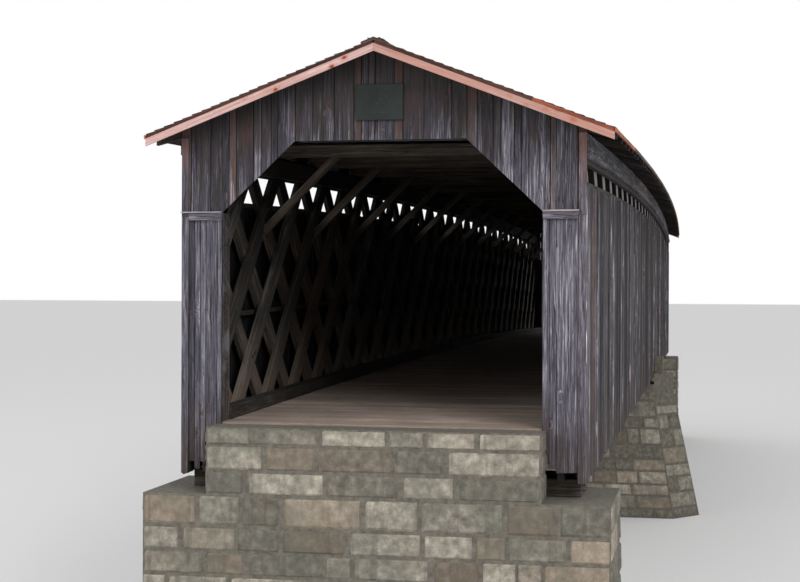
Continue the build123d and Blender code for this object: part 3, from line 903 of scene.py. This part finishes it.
def roofCover(side, seed):
    low, high = straightBox(side + "_roof_slope")
    out = 1 if side == "right" else -1
    eave = Vector((out * roofHalf, 0, high.z - roofSlope * roofHalf))
    up = Vector((0, 0, high.z)) - eave
    slope = up.length
    up.normalize()
    normal = Vector((out * up.z, 0, abs(up.x)))
    course = slope / roofLook["courses"]
    lean = math.asin((roofLook["butt"] + roofLook["clear"]) / course)
    length = up * math.cos(lean) - normal * math.sin(lean)
    face = normal * math.cos(lean) + up * math.sin(lean)
    centre = eave + normal * roofLook["proud"]
    centre = centre + length * roofLook["shingleLength"] / 2 - face * roofLook["butt"] / 2
    run = high.y - low.y
    count = round(run / roofLook["shingleWidth"])
    obj = fromTree(side + "_shingles", boardField, {
        "Count": count, "Rows": roofLook["courses"], "Start": (centre.x, low.y, centre.z), "Run": (0, run, 0),
        "Row step": tuple(up * course), "Size": (roofLook["shingleLength"], run / count, roofLook["butt"]),
        "Turn": turned(length, face), "Width spread": 0.5, "Slide": 0.007, "Lift": 0.0015, "Twist": 0.018,
        "Joint": 0.004, "Seed": seed, "Finish": shingleWood})
    bendIn(obj, [side + "_roof_slope"])
    centre = eave - normal * (roofThick * normal.z - roofLook["sheathing"] / 2)
    row = run / roofLook["boardRows"]
    obj = fromTree(side + "_sheathing", boardField, {
        "Count": roofLook["boardsUp"], "Rows": roofLook["boardRows"], "Run": tuple(up * slope),
        "Start": (centre.x, low.y + row / 2, centre.z), "Row step": (0, row, 0),
        "Size": (row - roofLook["boardJoint"], slope / roofLook["boardsUp"], roofLook["sheathing"]),
        "Turn": turned((0, 1, 0), normal), "Width spread": 0.25, "Joint": 0.006, "Cuts": 4,
        "Seed": seed + 1, "Finish": darkShadedBoards})
    bendIn(obj)


roofCover("left", 120)
roofCover("right", 130)
print("siding, deck and roof made")

# Entrance boards, sawn from the wall at its joints: where each board starts, its tone and its warmth
gableLook = {
    "joint": {"gable": 0.004, "cheek": 0.0015}, "wander": 0.002, "feet": 0.2,
    "gable": [(-2.32, 0.3, 0.4), (-2.07, 0.15, 0.35), (-1.84, 1.0, 1.0), (-1.75, 0.2, 0.55),
              (-1.54, 0.95, 0.0), (-1.44, 0.5, 0.2), (-1.32, 0.35, 0.3), (-1.24, 0.45, 0.5),
              (-1.02, 0.6, 0.1), (-0.81, 0.5, 0.2), (-0.55, 0.6, 0.0), (-0.31, 0.45, 0.95),
              (-0.22, 0.4, 0.1), (-0.13, 0.8, 0.5), (-0.055, 0.4, 0.2), (0.175, 0.45, 1.0),
              (0.28, 0.4, 0.0), (0.53, 0.45, 0.2), (0.86, 0.3, 0.1), (1.04, 0.45, 0.85),
              (1.16, 0.35, 0.1), (1.35, 0.6, 0.0), (1.44, 1.0, 0.0), (1.59, 0.45, 0.1),
              (1.68, 1.0, 0.0), (1.76, 0.55, 0.1), (2.01, 0.75, 0.9), (2.08, 0.35, 0.5),
              (2.33, 0.45, 0.95)],
    "cheek": [(-2.37, 0.1, 0.4), (-2.27, 0.6, 0.1), (-2.2, 0.85, 0.2), (-2.13, 0.45, 0.3),
              (-1.99, 0.7, 0.5), (2.01, 0.6, 0.5), (2.09, 0.75, 0.2), (2.35, 0.5, 0.5)],
}


def wallBoards(name, part, shift, level, seed):
    # the boards of an entrance wall above or below the ledges, where they meet end to end
    above, wall = part == "gable", name + "_gable_wall"
    rows = gableLook[part]
    if name == "far":
        rows = [(-start, tone, hue) for start, tone, hue in rows[::-1]]
    starts = [row[0] for row in rows]

    def chosen(centre, draws):
        place = int(np.searchsorted(starts, centre[0] - shift)) - 1
        return (rows[place][1] + 0.1 * (draws[0] - 0.5), rows[place][2]) if place >= 0 else draws

    bm = cleanMesh([wall])
    trimmed(bm, (0, 0, level), (0, 0, -1 if above else 1), dist=mergeDistance)
    sticks(name + "_" + part + "_boards", [wall], gableBoards, "weathered_boards",
           [start + shift for start in starts], axis=0, gap=gableLook["joint"][part], edge=0.002,
           seed=seed + above, wander=gableLook["wander"], direction=(2, 0, 1), tones=chosen, source=bm,
           feet=0.0 if above else gableLook["feet"])


def oneBoard(place, size, along, face, material, seed, edge):
    return fromTree("boards", boardField, {
        "Count": 1, "Start": tuple(place), "Run": (0, 0, 0), "Size": size, "Turn": turned(along, face),
        "Cuts": 3, "Seed": seed, "Finish": material}, edge)


def rakeStrips(name, end, seed):
    # reddish strips between the shingles and the rake boards, the dark rows partly painted shade under the
    # shingles' edge
    look = {"rows": 3, "height": 0.034, "thick": 0.022, "proud": 0.006, "below": 0.012, "joint": 0.003}
    slope = roofHalf * math.hypot(1, roofSlope)
    pieces = []
    for out in (-1, 1):
        down = Vector((out, 0, -roofSlope)).normalized()
        normal = Vector((out * roofSlope, 0, 1)).normalized()
        y = end * (-roofBox[0].y + look["proud"] - look["thick"] / 2)
        start = Vector((0, y, roofBox[1].z)) - normal * (look["below"] + look["height"] / 2)
        for row in range(look["rows"]):
            # one row gets red trim; the dark trim on the rest is partly painted shade
            redRow = row == look["rows"] - 1 and out * end < 0
            pieces.append(oneBoard(
                start + down * slope * (row + 0.5) / look["rows"],
                (slope / look["rows"] - look["joint"], look["height"], look["thick"]), down, (0, end, 0),
                redTrim if redRow else darkTrim, seed + out + row, 0.002))
    bendIn(joined(name + "_rake_strips", pieces))


def ledgeCaps(name, end, seed):
    # thin pale boards lying on the cheek ledges
    look = {"depth": 0.062, "thick": 0.016, "overhang": 0.008, "overStrip": 0.088}
    co = straightPoints(name + "_cheek_ledges")
    run, level = np.abs(co[:, 0]), co[:, 2].max()
    pieces = []
    for out in (-1, 1):
        past = look["overStrip"] if out * end > 0 else 0
        place = (out * (run.min() + run.max() + past) / 2, end * (halfLength + look["depth"] / 2),
                 level + look["thick"] / 2)
        size = (run.max() - run.min() + past + look["overhang"], look["depth"], look["thick"])
        pieces.append(oneBoard(place, size, (1, 0, 0), (0, 0, 1), paleLedge, seed + out, 0.003))
    bendIn(joined(name + "_ledge_caps", pieces))


for name, end, seed in (("near", -1, 140), ("far", 1, 150)):
    shift = sum(corner.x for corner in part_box(name + "_gable_wall")) / 2
    level = sum(corner.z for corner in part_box(name + "_cheek_ledges")) / 2
    wallBoards(name, "gable", shift, level, seed)
    wallBoards(name, "cheek", shift, level, seed)
    sticks(name + "_corner_strips", [name + "_corner_boards"], cornerWood, "weathered_boards", [level],
           axis=2, gap=0.001, seed=seed + 1, edge=0.003, direction=(2, 0, 1), tones=lambda centre, draws: (
               (0.05, 0.5) if centre[0] < 0 and centre[2] > level else (0.6, 0.65 if centre[0] > 0 else 0.2)))
    sticks(name + "_ledge_boards", [name + "_cheek_ledges"], cornerWood, "weathered_boards", seed=seed + 2,
           tones=lambda centre, draws: (0.85, 0.6 if centre[0] > 0 else 0.1))
    ledgeCaps(name, end, seed + 6)
    sticks(name + "_lining_boards", [name + "_opening_lining"], liningBoards, "weathered_boards",
           seed=seed + 3, edge=0.003)
    sticks(name + "_rake_trim", [name + "_rake_boards"], newTrim, "new_trim", [shift], axis=0, seed=seed + 4,
           edge=0.003)
    rakeStrips(name, end, seed + 5)
sticks("entrance_board", ["portal_plaque"], plaquePaint, "plaque_paint", edge=0.003, seed=160)
print("entrances made")

# Coursed stone blocks over the masonry solids. Each block is a grid that bulges between its sunk edges.
stoneLook = {
    "course": (0.19, 0.42), "block": (0.28, 1.05), "first": (0.3, 0.8), "least": 0.2, "lastBlock": 0.3,
    "joint": 0.014, "slip": 0.018, "proud": 0.028, "sunk": -0.012, "swell": (0.5, 1.0), "rough": (0.55, 1.0),
    "across": (0, 0.07, 0.3, 0.5, 0.7, 0.93, 1), "upward": (0, 0.12, 0.5, 0.88, 1),
}


def stoneFace(bm, corners, rng):
    # corners: low left, low right, top right, top left, seen from outside
    look, joint = stoneLook, stoneLook["joint"] / 2
    a, b, c, d = (Vector(p) for p in corners)
    normal = (b - a).cross(d - a).normalized()
    rise = ((d - a).length + (c - b).length) / 2
    marks, z = [0.0], 0.0
    while z < rise - look["least"]:
        z += rng.uniform(*look["course"])
        marks.append(min(z, rise))
    marks[-1] = rise
    toneLayer = bm.verts.layers.float.get("tone") or bm.verts.layers.float.new("tone")
    for low, high in zip(marks, marks[1:]):
        width = (b - a).length + ((c - d).length - (b - a).length) * low / rise
        stops, x = [0.0], rng.uniform(*look["first"])
        while x < width - look["lastBlock"]:
            stops.append(x)
            x += rng.uniform(*look["block"])
        stops.append(width)
        for left, right in zip(stops, stops[1:]):
            slips = rng.uniform(-0.5, 1.0, 2) * look["slip"]
            u0 = (left + (joint + max(slips[0], 0) if left > 0 else 0)) / width
            u1 = (right - (joint + max(slips[1], 0) if right < width else 0)) / width
            v0, v1 = (low + joint) / rise, (high - joint) / rise
            tone, swell = rng.random(), rng.uniform(*look["swell"]) * look["proud"]
            grid = []
            for upward in look["upward"]:
                grid.append([])
                for across in look["across"]:
                    u, v = u0 + (u1 - u0) * across, v0 + (v1 - v0) * upward
                    edge = across in (0, 1) or upward in (0, 1)
                    out = look["sunk"] if edge else swell * rng.uniform(*look["rough"])
                    vert = bm.verts.new(a.lerp(b, u).lerp(d.lerp(c, u), v) + normal * out)
                    vert[toneLayer] = tone
                    grid[-1].append(vert)
            for under, over in zip(grid, grid[1:]):
                for i in range(len(under) - 1):
                    bm.faces.new((under[i], under[i + 1], over[i + 1], over[i]))


def stonework(name, faces, seed):
    rng = np.random.default_rng(seed)
    bm = bmesh.new()
    for corners in faces:
        stoneFace(bm, corners, rng)
    mesh = bpy.data.meshes.new(name)
    bm.to_mesh(mesh)
    bm.free()
    mesh.materials.append(courseStone)
    settle(placed(name, mesh))


nearly = 0.001


def cornersOf(node):
    bm = cleanMesh([node])
    points = [v.co.copy() for v in bm.verts]
    bm.free()
    return points


def abutmentFaces(node, end):
    # the walls of an abutment: its back, the backwall over the seat, the battered breast and both sides
    points = cornersOf(node)
    levels = sorted({round(p.z, 4) for p in points})
    seat, road = levels[1], levels[-1]
    wall = [p.x for p in points if p.z > seat + nearly]
    body = [p.x for p in points if p.z < seat + nearly]

    def depths(level):
        return sorted(end * p.y for p in points if abs(p.z - level) < nearly)

    back, face = end * depths(road)[-1], end * depths(road)[0]
    foot, front = end * depths(levels[0])[0], end * depths(seat)[0]

    def crosswise(xs, y0, z0, y1, z1, outward):
        a, b = (max(xs), min(xs)) if outward > 0 else (min(xs), max(xs))
        return (a, y0, z0), (b, y0, z0), (b, y1, z1), (a, y1, z1)

    def lengthwise(xs, low, high, z0, z1):
        # low and high are the Y ends at the foot and at the top, from the breast to the back
        for x, outward in ((min(xs), -1), (max(xs), 1)):
            (y0, y1), (y2, y3) = (low[::-1], high[::-1]) if outward * end < 0 else (low, high)
            yield (x, y0, z0), (x, y1, z0), (x, y3, z1), (x, y2, z1)

    return [crosswise(body, back, 0, back, seat, end), crosswise(wall, back, seat, back, road, end),
            crosswise(wall, face, seat, face, road, -end), crosswise(body, foot, 0, front, seat, -end),
            *lengthwise(body, (foot, back), (front, back), 0, seat),
            *lengthwise(wall, (face, back), (face, back), seat, road)]


def pierFaces():
    # the six battered sides of the pier, read from its own corners
    points = sorted(cornersOf("center_pier"), key=lambda p: math.atan2(p.y, p.x))
    top = max(p.z for p in points)
    foot, head = ([p for p in points if abs(p.z - level) < nearly] for level in (0.0, top))
    return zip(foot, foot[1:] + foot[:1], head[1:] + head[:1], head)


stonework("near_abutment_stones", abutmentFaces("near_abutment", -1), 171)
stonework("far_abutment_stones", abutmentFaces("far_abutment", 1), 172)
stonework("pier_stones", pierFaces(), 173)
for node in ("near_abutment", "far_abutment", "center_pier", "pier_cap"):
    mesh = nodes[node].data
    mesh.materials.clear()
    mesh.materials.append(mortar)
print("stonework made")

# Pins through the lattice crossings, two at each
pinLook = {"radius": 0.0255, "proud": 0.008, "sides": 8, "apart": 0.055, "drop": 0.35, "fromEdge": 0.12,
           "fromEnd": 0.2}


def latticePins(side):
    low, high = straightBox(side + "_lattice")
    look, pitch, half = latticeLook, latticeLook["pitch"], latticeLook["pitch"] / 2
    pieces = []
    level = math.ceil((low.z + pinLook["fromEdge"] - look["crossingHeight"]) / half)
    while look["crossingHeight"] + level * pitch / 2 < high.z - pinLook["fromEdge"]:
        z = look["crossingHeight"] + level * pitch / 2
        first = -halfLength + look["firstCrossing"] + (half if level % 2 else 0) - pitch
        while first < -halfLength + pinLook["fromEnd"]:
            first += pitch
        count = int((halfLength - pinLook["fromEnd"] - first) / pitch) + 1
        for shift in (-pinLook["apart"], pinLook["apart"]):
            pieces.append(fromTree("pins", pinRows, {
                "Count": count, "Start": ((low.x + high.x) / 2, first + shift, z + shift * pinLook["drop"]),
                "Step": (0, pitch, 0), "Radius": pinLook["radius"], "Sides": pinLook["sides"],
                "Length": high.x - low.x + 2 * pinLook["proud"], "Turn": (0, math.pi / 2, 0),
                "Seed": 180 + level, "Finish": oldTimber}))
        level += 1
    bendIn(joined(side + "_lattice_pins", pieces))


for side in ("left", "right"):
    latticePins(side)

# Nail heads in the entrance walls: height from the roadway, first and last place across
nailLook = {"radius": 0.006, "length": 0.008, "step": 0.104, "sides": 6, "proud": 0.002, "uneven": 0.003,
            "rows": [(3.44, -2.35, 2.35)] + [
                (height, *ends) for height in (2.62, 1.35, 0.22) for ends in ((-2.32, -1.96), (1.96, 2.32))]}


def wallNails(name, end):
    look, pieces = nailLook, []
    for row, (height, first, last) in enumerate(look["rows"]):
        pieces.append(fromTree("nails", pinRows, {
            "Count": round((last - first) / look["step"]) + 1, "Seed": 200 + row, "Finish": rustyNail,
            "Start": (first, end * (halfLength + look["proud"]), height), "Radius": look["radius"],
            "Step": (look["step"], 0, look["uneven"] * (-1) ** row), "Length": look["length"],
            "Sides": look["sides"], "Turn": (math.pi / 2, 0, 0)}))
    bendIn(joined(name + "_wall_nails", pieces))


wallNails("near", -1)
wallNails("far", 1)
print("pins and nails made")

# Soft light, white surroundings and a pale floor
world = bpy.data.worlds.new("surroundings")
bpy.context.scene.world = world
world.use_nodes = True
world.node_tree.nodes.clear()
t = Wiring(world.node_tree)
rays = t.add("ShaderNodeLightPath").outputs
seen = t.maths("MAXIMUM", rays["Is Camera Ray"], t.maths("MAXIMUM", rays["Is Glossy Ray"],
                                                         rays["Is Transmission Ray"]))
soft, white = (t.add("ShaderNodeBackground", {"Color": (1, 1, 1, 1), "Strength": strength}).outputs[0]
               for strength in (0.75, 1.0))
mixed = t.add("ShaderNodeMixShader", {0: seen, 1: soft, 2: white}).outputs[0]
t.add("ShaderNodeOutputWorld", {0: mixed})


def softLamp(name, place, target, size, power):
    lamp = bpy.data.lights.new(name, "AREA")
    lamp.shape, lamp.size, lamp.energy = "DISK", size, power
    obj = placed(name, lamp)
    obj.location = place
    obj.rotation_mode = "QUATERNION"
    obj.rotation_quaternion = (Vector(target) - Vector(place)).to_track_quat("-Z", "Y")


softLamp("key", (22, -42, 26), (0, -12, 4), 22, 9000.0)
softLamp("fill", (-26, -38, 14), (0, -14, 4), 22, 5000.0)

half = 400
corners = [(-half, -half, 0), (half, -half, 0), (half, half, 0), (-half, half, 0)]
floorMesh = bpy.data.meshes.new("floor")
floorMesh.from_pydata(corners, [], [(0, 1, 2, 3)])
floorMaterial, t = newMaterial("paleFloor")
finish(t, (0.8, 0.8, 0.8, 1), 0.9)
floorMesh.materials.append(floorMaterial)
placed("floor", floorMesh)

bpy.context.scene.view_settings.view_transform = "Standard"
